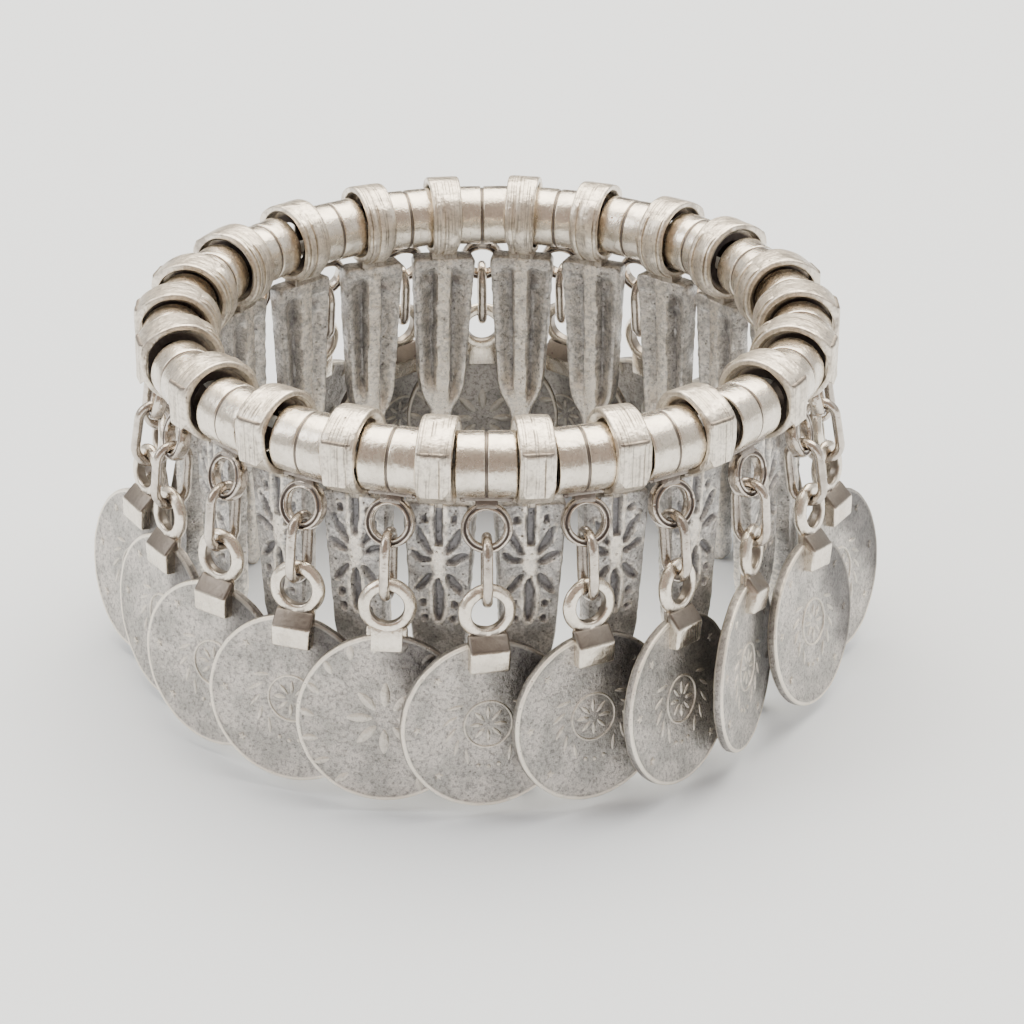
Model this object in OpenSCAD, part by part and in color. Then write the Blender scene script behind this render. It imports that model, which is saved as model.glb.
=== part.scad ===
// A stretch bracelet of silver-plated castings: barrels and collars in turn on a hidden elastic,
// a long spike below each collar, and a hanging coin below each barrel.
// It stands on the tips of its spikes. Millimetres, +Z up, the front is -Y,
// the origin is on the floor at the axis of the ring.

/* [Ring] */
// Radius of the circle through the middles of the barrels
ring_r = 31.6; // [30.5:0.1:33]
// Height of that circle above the floor
ring_h = 34.7; // [34.7:0.1:36]
// Angle of each collar round the ring, from the front towards +X
spacer_at = [7.6, 22.8, 38.8, 58.4, 75.7, 92, 106.9, 126, 141.2, 158, 172.8, 188.8, 204, 220.8, 238, 254.2, 268.6, 283.4, 302.4, 320.5, 336.5, 351.7]; // [0:0.1:360]
// Angle of each barrel, the one before the collar of the same number
barrel_at = [-0.2, 15.9, 31.5, 49.3, 67.5, 84.5, 100, 116.8, 133.8, 149.8, 165.6, 181, 196.3, 212.2, 229.2, 246, 261.4, 275.9, 292.9, 311.4, 328.5, 344.1]; // [-5:0.1:360]
// Largest sideways swing of a spike, in degrees
spike_swing = 1.5; // [0:0.1:2]

/* [Barrels] */
// Outside diameter of a barrel
barrel_od = 6.2; // [6:0.1:6.4]
// Bore of a barrel
barrel_bore = 4.9; // [4.5:0.1:5.2]
// Length of a barrel
barrel_len = 5.9; // [5:0.1:6.2]
// How far a barrel lies inside the circle
barrel_in = 0.07; // [0:0.01:0.15]
// Outside diameter of the eyelet below a barrel
eyelet_od = 4.9; // [4.4:0.1:5.2]
// Hole of the eyelet
eyelet_hole = 3.2; // [2.8:0.1:3.4]
// Distance from the barrel's axis to the middle of the eyelet
eyelet_drop = 5.95; // [5.8:0.05:6.1]
// Depth of the eyelet from front to back
eyelet_deep = 1.3; // [1:0.1:1.4]

/* [Collars] */
// Bore of a collar
collar_bore = 7.4; // [7.3:0.05:7.6]
// Outside diameter of a collar
collar_od = 8.3; // [8.2:0.1:8.8]
// Width of a collar along the ring
collar_wide = 3.4; // [3.2:0.1:3.8]
// How far the collar's middle lies inside the circle
collar_in = 0.32; // [0.2:0.01:0.4]
// How far the collar's middle lies above the circle
collar_up = 0.25; // [0.1:0.01:0.3]
// Outer face of the flat front plate, from the circle
plate_out = 3.92; // [3.8:0.01:4.2]
// Width of the front plate
plate_wide = 3.1; // [2.8:0.1:3.3]

/* [Spikes] */
// Outer face of a spike, inside the circle, less than 0 when outside it
spike_in = -0.2; // [-0.25:0.05:0.6]
// Thickness of a spike
spike_thick = 2.2; // [1.8:0.1:2.6]
// Width at the shoulders
spike_wide = 6.8; // [6:0.1:6.9]
// Width where the blade turns into the stem
blade_end_wide = 5.1; // [4.2:0.1:5.3]
// Width of the stem
stem_wide = 2.0; // [1.8:0.1:2.4]
// Depth of the two grooves in the inner face
groove_deep = 1.1; // [0.6:0.1:1.4]
// Depth of the slots of the rosette
slot_deep = 0.5; // [0.3:0.05:0.7]
// Height of the raised outlines round the slots
slot_rim = 0.18; // [0.1:0.02:0.25]

/* [Links] */
// Wire of a link
wire_d = 1.0; // [0.9:0.05:1.05]
// Outside length of a link
link_long = 7.35; // [7.2:0.05:7.5]
// Outside width of a link
link_wide = 4.3; // [4.2:0.05:4.4]
// Play between a link and what it hangs on
link_play = 0.1; // [0.05:0.01:0.12]

/* [Coins] */
// Diameter of a coin
coin_d = 17; // [16:0.1:17.2]
// Thickness of a coin between its fields
coin_thick = 0.8; // [0.6:0.05:0.9]
// Height of the rim above the field
coin_rim = 0.1; // [0.05:0.01:0.15]
// Height of the relief above the field
relief = 0.16; // [0.1:0.01:0.2]
// Outside diameter of the bail ring
bail_od = 5.6; // [5.3:0.05:5.7]
// Hole of the bail ring
bail_hole = 3.2; // [3:0.05:3.4]
// Thickness of the bail ring
bail_thick = 1.15; // [1:0.05:1.25]
// Distance from the bail ring to the middle of the coin
coin_drop = 11.35; // [11.2:0.05:11.6]
// Width of the wedge below the bail ring
wedge_wide = 3.95; // [3.6:0.05:4.2]
// How each coin hangs: turn about the vertical, lean outwards, roll of its barrel, side shown,
// yaw of its link, swing in its own plane
hang = [
    [14, 6, 18, 1, 3, 0],
    [13, 6, 18, 1, 2, 0],
    [21, 7, 16, 1, 3, 4],
    [20, 3, 14, 1, 5, 16],
    [-8, 8, 16, 1, -2, 12],
    [-26, 9, 16, 1, -6, 4],
    [-15, 9, 18, 1, -4, 0],
    [-16, 6, 16, -1, -3, 0],
    [-14, 6, 16, 1, -3, 0],
    [-16, 6, 16, 1, -3, 0],
    [-20, 7.5, 17, -1, -4, 0],
    [0, 3, 14, 1, 0, 0],
    [20, 7.5, 17, -1, 4, 0],
    [20, 6, 16, 1, 4, 0],
    [15, 6, 16, -1, 3, 0],
    [17, 6, 16, 1, 3, 0],
    [22, 6, 16, 1, 5, 0],
    [28, 8.5, 16, 1, 6, 0],
    [12, 5, 16, 1, 2, 0],
    [13, 6, 17, 1, 2, 0],
    [13, 7, 18, 1, 3, 0],
    [14, 7, 18, -1, 3, 0]
]; // [-40:0.5:40]

/* [Elastic] */
// Thickness of the elastic
elastic_d = 1.2; // [1:0.1:1.5]
// Radius of the loop that the elastic makes
elastic_r = 30; // [29.9:0.05:30.3]

/* [Hidden] */
count = len(spacer_at);
numbers = [for (i = [1 : count]) i < 10 ? str("0", i) : str(i)];
spacer_names = [for (n = numbers) str("spacer_", n)];
coin_names = [for (n = numbers) str("coin_", n)];
$fn = 64;
silver = [0.72, 0.70, 0.67];
dark = [0.45, 0.44, 0.42];
rubber = [0.85, 0.85, 0.82];
eyelet_foot = eyelet_drop + eyelet_hole / 2;
link_top = wire_d / 2 + link_play;
link_span = link_long - wire_d;
bail_at = link_span - link_top - wire_d / 2 - link_play + bail_hole / 2;

// Barrel i lies between collar i - 1 and collar i
function before(i) = i == 0 ? spacer_at[count - 1] - 360 : spacer_at[i - 1];
function swing(i) = spike_swing * sin(3 * spacer_at[i] + 40);
function room(i) = (ring_r - 1) * sin(min(spacer_at[i] - barrel_at[i], barrel_at[i] - before(i))) - collar_wide / 2;
function oval(rx, ry, n) = [for (k = [0 : n - 1]) [rx * cos(k * 360 / n), ry * sin(k * 360 / n)]];
function star(r, n) = [for (k = [0 : 2 * n - 1]) (k % 2 == 0 ? r : r * 0.45) * [sin(k * 180 / n), cos(k * 180 / n)]];

module at_ring(a) {
    rotate([0, 0, a]) translate([0, -ring_r, ring_h]) children();
}

// A flat shape drawn in x and z, from y = far towards the outside by deep
module slab(far, deep) {
    translate([0, far, 0]) rotate([90, 0, 0]) linear_extrude(deep) children();
}

// A ring about the x axis from a profile of [radius, x]
module spool(profile) {
    rotate([0, 90, 0]) rotate_extrude() polygon(profile);
}

// A ring about the y axis with its edges taken off
module eye(outer, hole, deep, inner_cut, outer_cut) {
    rotate([90, 0, 0]) rotate_extrude() polygon([
        [hole, -deep / 2 + 1.3 * inner_cut],
        [hole + inner_cut, -deep / 2],
        [outer - outer_cut, -deep / 2],
        [outer, -deep / 2 + outer_cut],
        [outer, deep / 2 - outer_cut],
        [outer - outer_cut, deep / 2],
        [hole + inner_cut, deep / 2],
        [hole, deep / 2 - 1.3 * inner_cut]
    ]);
}

module barrel() {
    r = barrel_od / 2;
    b = barrel_bore / 2;
    e = barrel_len / 2;
    spool([
        [b, -e + 0.2], [b + 0.15, -e], [r - 0.25, -e], [r - 0.07, -e + 0.08], [r, -e + 0.3],
        [r, -0.22], [r - 0.16, -0.08], [r - 0.16, 0.08], [r, 0.22],
        [r, e - 0.3], [r - 0.07, e - 0.08], [r - 0.25, e], [b + 0.15, e], [b, e - 0.2]
    ]);
}

// The eyelet with its saddle, which reaches along the barrel as far as the collars leave room
module eyelet(room) {
    r = barrel_od / 2;
    w = room - 0.25;
    translate([0, 0, -eyelet_drop]) eye(eyelet_od / 2, eyelet_hole / 2, eyelet_deep, 0.3, 0.25);
    difference() {
        union() {
            slab(0.65, 1.3) polygon([[-w, -2.6], [w, -2.6], [w, -3.3], [1.2, -3.5], [0.8, -4.3], [-0.8, -4.3], [-1.2, -3.5], [-w, -3.3]]);
            for (s = [-1, 1]) translate([w * s, 0, -3.2]) sphere(d = 0.5, $fn = 24);
        }
        rotate([0, 90, 0]) cylinder(r = r - 0.2, h = 8, center = true);
    }
}

module barrels() {
    color(silver)
    for (i = [0 : count - 1])
        at_ring(barrel_at[i]) translate([0, barrel_in, 0]) rotate([-hang[i][2], 0, 0]) {
            barrel();
            eyelet(room(i));
        }
}

// Everything below an eyelet hangs from the lowest point of its hole
module hung(i) {
    at_ring(barrel_at[i]) translate([0, barrel_in, 0])
        rotate([-hang[i][2], 0, 0]) translate([0, 0, -eyelet_foot])
            rotate([hang[i][2] - hang[i][1], 0, 0]) children();
}

module link() {
    bend = (link_wide - wire_d) / 2;
    leg = link_span - 2 * bend;
    for (s = [0, 1])
        translate([0, 0, s * leg - link_span + link_top + bend])
            rotate([0, 0, 90]) rotate([90, 0, 0]) rotate([0, 0, 180 + s * 180])
                rotate_extrude(angle = 180) translate([bend, 0]) circle(d = wire_d, $fn = 24);
    for (s = [-1, 1])
        translate([0, s * bend, -link_span + link_top + bend]) cylinder(d = wire_d, h = leg, $fn = 24);
}

module links() {
    color(silver)
    for (i = [0 : count - 1])
        hung(i) rotate([0, 0, hang[i][4]]) link();
}

module collar_plate() {
    w = plate_wide / 2;
    slab(-3, plate_out - 3) polygon([
        [-w, 2.6], [-w, -1.2], [-w + 0.15, -1.6], [-w + 0.5, -1.9],
        [w - 0.5, -1.9], [w - 0.15, -1.6], [w, -1.2], [w, 2.6]
    ]);
}

module collar() {
    r = collar_od / 2;
    b = collar_bore / 2;
    e = collar_wide / 2;
    translate([0, collar_in, collar_up]) spool([
        [b, -e + 0.15], [b + 0.12, -e], [r - 0.17, -e], [r, -e + 0.2],
        [r, e - 0.2], [r - 0.17, e], [b + 0.12, e], [b, e - 0.15]
    ]);
    difference() {
        union() {
            collar_plate();
            slab(spike_in + spike_thick - 0.1, spike_thick - 0.2)
                polygon([[-1.8, -2.9], [1.8, -2.9], [1.8, -4.5], [-1.8, -4.5]]);
            for (rib = [[-1.3, 0.4], [0.75, 1.35]])
                slab(5, 4) polygon([[rib[0], 0.6], [rib[1], 0.6], [rib[1], -3.6], [rib[0], -3.6]]);
        }
        translate([0, collar_in, collar_up]) rotate([0, 90, 0]) cylinder(r = b + 0.1, h = 9, center = true);
        // a broad and a narrow rib follow the band, just proud of it
        difference() {
            translate([-3, collar_in, -4.6]) cube([6, 6, 8]);
            translate([0, collar_in, collar_up]) rotate([0, 90, 0]) cylinder(r = r + 0.22, h = 9, center = true);
            translate([-2, 0, -4.6]) cube([4, spike_in + spike_thick - 0.1, 2]);
        }
    }
}

module spike_outline() {
    w = spike_wide / 2;
    e = blade_end_wide / 2;
    s = stem_wide / 2;
    right = [
        [w - 0.55, -4.2], [w - 0.2, -4.32], [w, -4.7], [w - 0.05, -5.6], [e + 0.1, -18.2], [e - 0.03, -19.4],
        [e - 0.22, -20.3], [e - 0.55, -21.2], [e - 0.95, -22.1], [s + 0.14, -22.9], [s + 0.04, -23.6],
        [s, -24.6], [s + 0.03, -28], [s + 0.2, -33.2], [s + 0.17, -33.9], [s - 0.05, -34.35], [s - 0.5, -ring_h]
    ];
    polygon(concat(right, [for (k = [len(right) - 1 : -1 : 0]) [-right[k][0], right[k][1]]]));
}

// Seen from the side: flat blade, a stem that thins a little, a rounded tip
module spike_side() {
    f = spike_in;
    b = spike_in + spike_thick;
    rotate([90, 0, 90]) translate([0, 0, -5]) linear_extrude(10) polygon([
        [f + 0.15, -4], [f, -4.6], [f, -33.4], [f + 0.2, -34.2], [f + 0.65, -ring_h - 0.01],
        [b - 0.65, -ring_h - 0.01], [b - 0.3, -34.3], [b - 0.12, -33.4], [b - 0.1, -24], [b, -21.5], [b, -4.5], [b - 0.2, -4]
    ]);
}

module grooves() {
    for (m = [0, 1]) mirror([m, 0, 0])
        polygon([[1.0, -5.3], [2.4, -5.3], [2.45, -7.6], [1.85, -18], [1.4, -20.2], [0.85, -21.6], [0.75, -21]]);
}

// The slots of the rosette, measured down from the shoulders, each grown by g for its outline
module slots(g) {
    translate([0, -4.2]) {
        polygon([[-0.4 - g, -0.35 + g], [0.4 + g, -0.35 + g], [0.42 + g, -3.3], [0, -4.4 - 1.5 * g], [-0.42 - g, -3.3]]);
        polygon([[0, -7.7 + 1.5 * g], [0.45 + g, -9], [0.4 + g, -10.8], [0, -12.1 - 1.5 * g], [-0.4 - g, -10.8], [-0.45 - g, -9]]);
        for (m = [0, 1]) mirror([m, 0]) {
            polygon([[0.75 - 0.6 * g, -5.2 - g], [1.1 - g, -3.6], [1.75, -2.3 + g], [2.4 + g, -2.3 + g], [2.35 + g, -3.3], [1.7 + g, -4.5 - g]]);
            polygon([[0.75 - g, -7.3 + g], [1.5, -7.3 + g], [2.3 + g, -8.4], [2.4 + g, -9.2 - g], [1.6, -9.1 - g], [0.95 - g, -8.3]]);
            polygon([[1.1 - g, -5.9], [1.5, -5.55 + g], [2.6 + g, -5.55 + g], [2.6 + g, -6.3 - g], [1.5, -6.3 - g]]);
            for (z = [-1.5, -10.4, -12]) translate([1.45, z]) circle(r = 0.3 + g, $fn = 16);
        }
    }
}

module spike() {
    difference() {
        union() {
            intersection() {
                slab(spike_in + spike_thick + 0.1, spike_thick + 0.2) spike_outline();
                spike_side();
            }
            slab(spike_in + 0.3, 0.3 + slot_rim) slots(0.25);
        }
        slab(spike_in + slot_deep, slot_deep + 1) slots(0);
        slab(spike_in + spike_thick + 0.2, groove_deep + 0.2) grooves();
    }
}

module spacer(i) {
    color(dark)
    at_ring(spacer_at[i]) rotate([0, swing(i), 0]) {
        collar();
        spike();
    }
}

module bail() {
    eye(bail_od / 2, bail_hole / 2, bail_thick, 0.22, 0.22);
    translate([-wedge_wide / 2, 0, 0]) rotate([90, 0, 90]) linear_extrude(wedge_wide)
        polygon([[0.1, -2.1], [-0.5, -2.1], [-1.7, -3.6], [-1.35, -5.8], [0.1, -5.8]]);
    slab(0.55, 0.7) polygon([[-1.45, -1.9], [1.45, -1.9], [1.6, -4], [0.9, -4.6], [-0.9, -4.6], [-1.6, -4]]);
}

// A pointed leaf between two arcs, its foot at the origin
module leaf(long, wide) {
    r = (long * long + wide * wide) / (4 * wide);
    intersection() {
        translate([r - wide / 2, long / 2]) circle(r);
        translate([wide / 2 - r, long / 2]) circle(r);
    }
}

// One side's ornament, drawn flat about the coin's middle: a flower in a ring, two sprays and stars
module front_ornament() {
    for (a = [45 : 45 : 315]) rotate(180 - a) translate([0, -6.9]) polygon(star(0.6, 5));
    difference() {
        circle(r = 2.5);
        circle(r = 2.15);
    }
    for (a = [0 : 45 : 315]) rotate(a) translate([0, 0.45]) leaf(1.45, 0.6);
    circle(r = 0.3);
    for (m = [0, 1]) mirror([m, 0])
        for (a = [48 : 22 : 136]) rotate(180 - a) translate([0, -3.2]) rotate(128) leaf(1.9, 0.6);
    for (x = [-1, 0, 1]) translate([x, -4.4 - 0.2 * abs(x)]) circle(r = 0.28);
}

module back_ornament() {
    for (a = [30 : 20 : 330]) rotate(180 - a) translate([0, -6.7]) rotate(24) leaf(1.7, 0.75);
    for (a = [0 : 45 : 315]) rotate(a) translate([0, 1.1]) leaf(2.6, 1);
    circle(r = 0.7);
}

module coin(i) {
    c = coin_thick / 2;
    d = c + coin_rim;
    r = coin_d / 2;
    color(silver)
    hung(i) translate([0, 0, -bail_at]) rotate([0, 0, hang[i][0]]) rotate([0, hang[i][5], 0])
    rotate([0, 0, hang[i][3] < 0 ? 180 : 0]) {
        bail();
        translate([0, 0, -coin_drop]) {
            rotate([90, 0, 0]) rotate_extrude() polygon([
                [0, -c], [r - 0.55, -c], [r - 0.45, -d], [r - 0.15, -d], [r, -d + 0.12],
                [r, d - 0.12], [r - 0.15, d], [r - 0.45, d], [r - 0.55, c], [0, c]
            ]);
            slab(0, c + relief) front_ornament();
            rotate([0, 0, 180]) slab(0, c + relief) back_ornament();
        }
    }
}

module elastic_cord() {
    color(rubber)
    translate([0, 0, ring_h]) rotate_extrude($fn = 180) translate([elastic_r, 0]) circle(d = elastic_d, $fn = 24);
}

for (i = [0 : count - 1]) spacer(i);
for (i = [0 : count - 1]) coin(i);
barrels();
links();
elastic_cord();
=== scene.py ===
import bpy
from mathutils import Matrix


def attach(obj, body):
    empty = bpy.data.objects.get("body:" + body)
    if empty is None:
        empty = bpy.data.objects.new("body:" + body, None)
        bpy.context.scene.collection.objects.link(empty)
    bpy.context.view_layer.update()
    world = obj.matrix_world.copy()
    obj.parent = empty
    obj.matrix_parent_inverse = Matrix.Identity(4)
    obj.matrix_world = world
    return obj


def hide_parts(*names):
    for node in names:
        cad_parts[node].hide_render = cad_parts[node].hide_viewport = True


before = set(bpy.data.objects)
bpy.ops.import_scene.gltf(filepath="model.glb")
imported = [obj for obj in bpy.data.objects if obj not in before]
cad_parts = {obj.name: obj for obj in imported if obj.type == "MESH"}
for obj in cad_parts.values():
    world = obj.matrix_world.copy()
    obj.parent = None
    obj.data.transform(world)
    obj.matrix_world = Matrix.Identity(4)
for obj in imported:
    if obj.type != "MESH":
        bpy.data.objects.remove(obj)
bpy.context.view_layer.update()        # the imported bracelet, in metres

import math
import bmesh
import bpy
from mathutils import Matrix, Vector, noise

print("frame loaded:", len(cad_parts), "nodes")

mm = 0.001
full = 2 * math.pi
weld = 0.0005            # points nearer than this become one, in millimetres
sharpFrom = 42           # edges that turn more than this look sharp, degrees

# Where everything hangs. All sizes are millimetres until a piece is placed.
ring = {
    "radius": 31.6,      # circle through the middles of the barrels
    "height": 34.7,
    "swing": 1.5,        # largest sideways swing of a spike, degrees
    "swingWaves": 3, "swingFrom": 40,
    "barrelIn": 0.07,
    "eyeletFoot": 7.55,  # from a barrel's axis to the foot of its eyelet's hole
    "bailAt": 6.75,      # from there to the middle of the bail ring
    "coinDrop": 11.35,   # from the bail ring to the coin's middle
}
spacerAt = [7.6, 22.8, 38.8, 58.4, 75.7, 92, 106.9, 126, 141.2, 158, 172.8,
            188.8, 204, 220.8, 238, 254.2, 268.6, 283.4, 302.4, 320.5, 336.5, 351.7]
barrelAt = [-0.2, 15.9, 31.5, 49.3, 67.5, 84.5, 100, 116.8, 133.8, 149.8, 165.6,
            181, 196.3, 212.2, 229.2, 246, 261.4, 275.9, 292.9, 311.4, 328.5, 344.1]
count = len(spacerAt)

# How each coin hangs, from the middle of the front towards +X:
# turn, lean, roll of the barrel, side shown, yaw of the link, swing in its own plane
hangRows = [
    (14, 6, 18, 1, 3, 0),
    (13, 6, 18, 1, 2, 0),
    (21, 7, 16, 1, 3, 4),
    (20, 3, 14, 1, 5, 16),
    (-8, 8, 16, 1, -2, 12),
    (-26, 9, 16, 1, -6, 4),
    (-15, 9, 18, 1, -4, 0),
    (-16, 6, 16, -1, -3, 0),
    (-14, 6, 16, 1, -3, 0),
    (-16, 6, 16, 1, -3, 0),
    (-20, 7.5, 17, -1, -4, 0),
    (0, 3, 14, 1, 0, 0),
    (20, 7.5, 17, -1, 4, 0),
    (20, 6, 16, 1, 4, 0),
    (15, 6, 16, -1, 3, 0),
    (17, 6, 16, 1, 3, 0),
    (22, 6, 16, 1, 5, 0),
    (28, 8.5, 16, 1, 6, 0),
    (12, 5, 16, 1, 2, 0),
    (13, 6, 17, 1, 2, 0),
    (13, 7, 18, 1, 3, 0),
    (14, 7, 18, -1, 3, 0),
]
hang = [dict(zip(("turn", "lean", "roll", "side", "yaw", "swing"), row)) for row in hangRows]


def turned(axis, degrees):
    return Matrix.Rotation(math.radians(degrees), 4, axis)


def moved(x, y, z):
    return Matrix.Translation((x, y, z))


def ringPlace(angle):
    return turned("Z", angle) @ moved(0, -ring["radius"], ring["height"])


def roomBeside(i):
    # degrees from a barrel to the nearer of its two collars
    before = spacerAt[i - 1] - (360 if i == 0 else 0)
    return min(spacerAt[i] - barrelAt[i], barrelAt[i] - before)


def spacerPlace(i):
    wave = math.radians(ring["swingWaves"] * spacerAt[i] + ring["swingFrom"])
    return ringPlace(spacerAt[i]) @ turned("Y", ring["swing"] * math.sin(wave))


def barrelPlace(i):
    return ringPlace(barrelAt[i]) @ moved(0, ring["barrelIn"], 0) @ turned("X", -hang[i]["roll"])


def hungPlace(i):
    upright = turned("X", hang[i]["roll"] - hang[i]["lean"])
    return barrelPlace(i) @ moved(0, 0, -ring["eyeletFoot"]) @ upright


def coinPlace(i):
    facing = 180 if hang[i]["side"] < 0 else 0
    hangs = turned("Z", hang[i]["turn"]) @ turned("Y", hang[i]["swing"])
    return hungPlace(i) @ moved(0, 0, -ring["bailAt"]) @ hangs @ turned("Z", facing)


# Small helpers for meshes

def smoothStep(low, high, value):
    t = min(max((value - low) / (high - low), 0.0), 1.0)
    return t * t * (3 - 2 * t)


def tableValue(rows, at):
    # straight lines between rows of (place, value), places rising
    for (a, va), (b, vb) in zip(rows, rows[1:]):
        if at <= b:
            return va + (vb - va) * max(at - a, 0.0) / (b - a)
    return rows[-1][1]


def roundedProfile(corners, closed=True, steps=3, span=0.9):
    # corners of (radius, along, rounding) become a chain with soft corners
    points = []
    total = len(corners)
    for k, (r, a, rounding) in enumerate(corners):
        here = Vector((r, a))
        if not closed and k in (0, total - 1):
            points.append(here)
            continue
        last = Vector(corners[k - 1][:2])
        after = Vector(corners[(k + 1) % total][:2])
        start = here + (last - here).normalized() * rounding
        end = here + (after - here).normalized() * rounding
        for s in range(steps + 1):
            t = s / steps
            points.append(start * (1 - t) ** 2 + here * 2 * t * (1 - t) + end * t * t)
    chain = []
    pairs = zip(points, points[1:] + points[:1]) if closed else zip(points, points[1:])
    for p, q in pairs:
        chain.append(p)
        extra = int((q - p).length / span)
        for e in range(1, extra + 1):
            chain.append(p.lerp(q, e / (extra + 1)))
    if not closed:
        chain.append(points[-1])
    return chain


def spinChain(bm, chain, axis, steps, closed=True, angle=full):
    # the chain holds (radius, along); along runs on the axis
    def spot(p):
        return (p[1], 0, p[0]) if axis == "X" else (p[0], p[1], 0)
    verts = [bm.verts.new(spot(p)) for p in chain]
    edges = [bm.edges.new(pair) for pair in zip(verts, verts[1:])]
    if closed:
        edges.append(bm.edges.new((verts[-1], verts[0])))
    before = set(bm.verts) - set(verts)
    line = (1, 0, 0) if axis == "X" else (0, 1, 0)
    bmesh.ops.spin(bm, geom=verts + edges, cent=(0, 0, 0), axis=line, dvec=(0, 0, 0),
                   angle=angle, steps=steps, use_merge=angle == full, use_duplicate=False)
    made = [v for v in bm.verts if v not in before]
    bmesh.ops.remove_doubles(bm, verts=made, dist=weld)
    made = [v for v in bm.verts if v not in before]
    faces = list({f for v in made for f in v.link_faces})
    bmesh.ops.recalc_face_normals(bm, faces=faces)
    return made


def roughened(verts, amount, size, seed):
    # casting unevenness: each point moves a little along its normal
    for v in verts:
        v.normal_update()
    aside = Vector((seed * 7.3, 0, 0))
    moves = [v.normal * amount * noise.noise(v.co / size + aside) for v in verts]
    for v, move in zip(verts, moves):
        v.co += move


def newShape():
    bm = bmesh.new()
    for name in ("hollow", "rim", "lane"):
        bm.verts.layers.float.new(name)
    return bm


def painted(bm, verts, name, value):
    layer = bm.verts.layers.float[name]
    for v in verts:
        v[layer] = value


def asMesh(bm, name):
    mesh = bpy.data.meshes.new(name)
    bm.normal_update()
    bm.to_mesh(mesh)
    bm.free()
    return mesh


def stamp(bm, mesh, place):
    # a copy of a mesh joins this one, at its place
    before = set(bm.verts)
    bm.from_mesh(mesh)
    fresh = [v for v in bm.verts if v not in before]
    bmesh.ops.transform(bm, matrix=place, verts=fresh)
    return fresh


def block(bm, low, high, soft, segments=2):
    # a box between two corners with its edges taken off
    made = bmesh.ops.create_cube(bm, size=1)["verts"]
    size = [h - l for l, h in zip(low, high)]
    middle = [(h + l) / 2 for l, h in zip(low, high)]
    bmesh.ops.scale(bm, vec=size, verts=made)
    bmesh.ops.translate(bm, vec=middle, verts=made)
    edges = list({e for v in made for e in v.link_edges})
    done = bmesh.ops.bevel(bm, geom=edges, offset=soft, offset_type="OFFSET", affect="EDGES",
                           segments=segments, profile=0.5, material=-1, clamp_overlap=True)
    return list({v for f in done["faces"] for v in f.verts})


def addPiece(name, mesh, material, slot, *nodes):
    mesh.transform(Matrix.Scale(mm, 4))
    mesh.polygons.foreach_set("use_smooth", [True] * len(mesh.polygons))
    mesh.set_sharp_from_angle(angle=math.radians(sharpFrom))
    mesh.materials.clear()
    mesh.materials.append(material)
    piece = bpy.data.objects.new(name, mesh)
    bpy.context.scene.collection.objects.link(piece)
    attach(piece, "root")
    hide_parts(*nodes)


# Materials

class Wire:
    # a socket that can be used in sums like a number
    def __init__(self, shader, socket):
        self.shader = shader
        self.socket = socket

    def maths(self, operation, *others):
        return self.shader.add("ShaderNodeMath", {"operation": operation}, [self, *others])

    def __add__(self, other):
        return self.maths("ADD", other)

    def __radd__(self, other):
        return self.maths("ADD", other)

    def __sub__(self, other):
        return self.maths("SUBTRACT", other)

    def __rsub__(self, other):
        return self.shader.add("ShaderNodeMath", {"operation": "SUBTRACT"}, [other, self])

    def __mul__(self, other):
        return self.maths("MULTIPLY", other)

    def __rmul__(self, other):
        return self.maths("MULTIPLY", other)

    def between(self, low, high, toLow=0.0, toHigh=1.0):
        settings = {"interpolation_type": "SMOOTHSTEP"}
        return self.shader.add("ShaderNodeMapRange", settings, [self, low, high, toLow, toHigh])


class Shader:
    def __init__(self, name, **fixed):
        self.material = bpy.data.materials.new(name)
        self.material.use_nodes = True
        self.tree = self.material.node_tree
        self.tree.nodes.clear()
        self.output = self.tree.nodes.new("ShaderNodeOutputMaterial")
        self.skin = self.tree.nodes.new("ShaderNodeBsdfPrincipled")
        self.tree.links.new(self.skin.outputs[0], self.output.inputs["Surface"])
        for socket, value in fixed.items():
            self.skin.inputs[socket.replace("_", " ")].default_value = value
        self.place = self.add("ShaderNodeTexCoord", {}, {}, "Object")

    def add(self, kind, settings, inputs, output=0):
        node = self.tree.nodes.new(kind)
        for key, value in settings.items():
            setattr(node, key, value)
        pairs = inputs.items() if isinstance(inputs, dict) else enumerate(inputs)
        for key, value in pairs:
            socket = node.inputs[key]
            if isinstance(value, Wire):
                self.tree.links.new(value.socket, socket)
            else:
                socket.default_value = value
        return Wire(self, node.outputs[output])

    def grain(self, size, detail=3.0, rough=0.55, stretch=None, output="Fac"):
        place = self.place
        if stretch:
            place = self.add("ShaderNodeMapping", {}, {"Vector": place, "Scale": stretch})
        return self.add("ShaderNodeTexNoise", {}, {"Vector": place, "Scale": 1 / (size * mm),
                                                   "Detail": detail, "Roughness": rough}, output)

    def cells(self, size, output="Distance"):
        inputs = {"Vector": self.place, "Scale": 1 / (size * mm)}
        return self.add("ShaderNodeTexVoronoi", {}, inputs, output)

    def mask(self, name):
        return self.add("ShaderNodeAttribute", {"attribute_name": name}, {}, "Fac")

    def blend(self, factor, first, second):
        return self.add("ShaderNodeMix", {"data_type": "RGBA"}, {0: factor, 6: first, 7: second}, 2)

    def bump(self, height, distance, strength=1.0, under=None):
        inputs = {"Height": height, "Distance": distance * mm, "Strength": strength}
        if under is not None:
            inputs["Normal"] = under
        return self.add("ShaderNodeBump", {}, inputs)

    def feed(self, **sockets):
        for socket, wire in sockets.items():
            self.tree.links.new(wire.socket, self.skin.inputs[socket.replace("_", " ")])
        return self.material


# the last tone darkens pits and is also the colour of painted shade, laid on where the hollow mask is set
platingTones = {
    "patch": (0.42, 0.37, 0.32, 1), "speck": (0.30, 0.26, 0.23, 1),
    "line": (0.28, 0.24, 0.21, 1), "grimeAndShade": (0.075, 0.06, 0.056, 1),
}


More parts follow.
